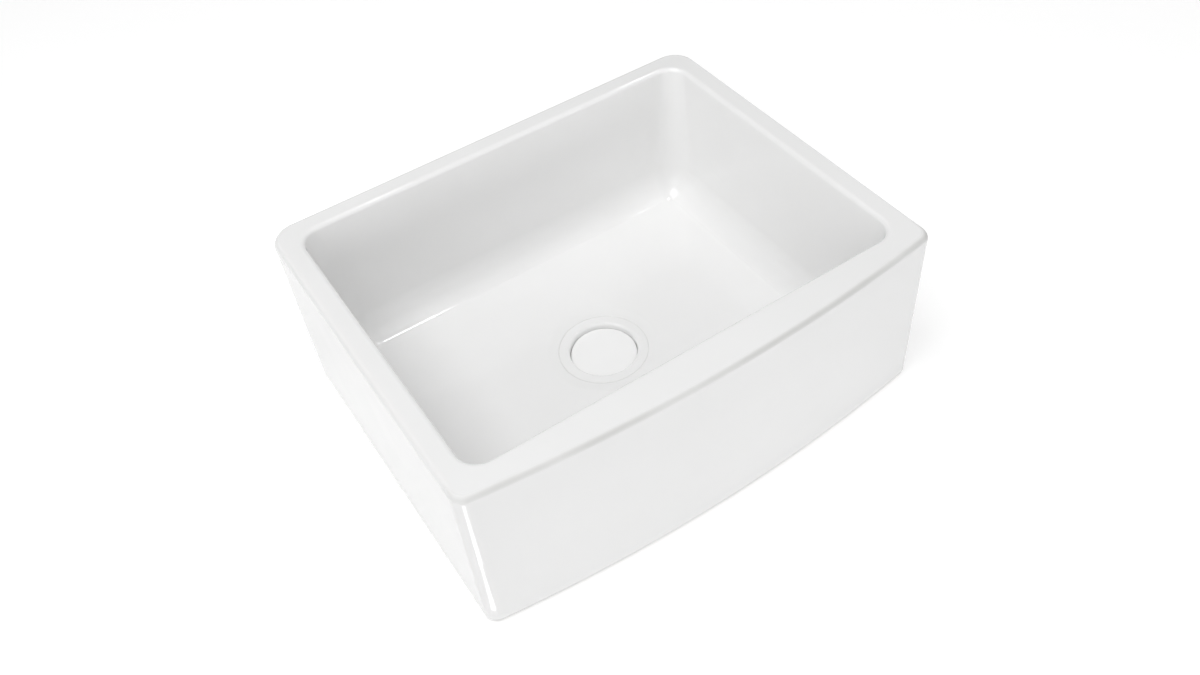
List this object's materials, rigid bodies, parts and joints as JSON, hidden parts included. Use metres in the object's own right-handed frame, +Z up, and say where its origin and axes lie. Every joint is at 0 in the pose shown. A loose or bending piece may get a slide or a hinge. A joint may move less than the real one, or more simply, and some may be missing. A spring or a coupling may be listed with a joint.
{
  "type": "farmhouse apron front sink",
  "caption": "White fireclay single-bowl kitchen sink with a gently bowed apron front, a flat rim and a lift-out basket strainer under a plain cover",
  "frame": {"origin": "middle of the footprint, on the surface that the foot stands on", "axes": "+Z up, the apron faces -Y, +X to the right as seen from the front"},
  "size_m": [0.61, 0.502, 0.235],
  "materials": {
    "glazed_fireclay": "gloss",
    "white_enamel": "gloss",
    "white_nylon": "satin",
    "white_rubber": "matte",
    "black_rubber": "matte",
    "grey_fibre": "matte",
    "steel": "satin"
  },
  "bodies": {
    "sink": {"sink_body": "glazed_fireclay", "flange_gasket": "white_rubber", "strainer_body": "white_enamel", "rubber_washer": "black_rubber", "friction_ring": "grey_fibre", "locknut": "white_nylon", "outlet_washer": "black_rubber"},
    "basket": {"strainer_basket": "white_enamel", "basket_stopper": "white_rubber", "basket_post": "steel", "post_oring": "black_rubber", "clamp_washer": "steel", "basket_knob": "steel"},
    "cover": {"cover_disc": "white_enamel", "cover_pad_1": "white_rubber", "cover_pad_2": "white_rubber", "cover_pad_3": "white_rubber"}
  },
  "joints": [
    {"name": "basket_lift", "type": "slide", "parent": "sink", "child": "basket", "axis": [0, 0, 1], "range_m": [0, 0.26]},
    {"name": "cover_lift", "type": "slide", "parent": "basket", "child": "cover", "axis": [0, 0, 1], "range_m": [0, 0.24]}
  ]
}
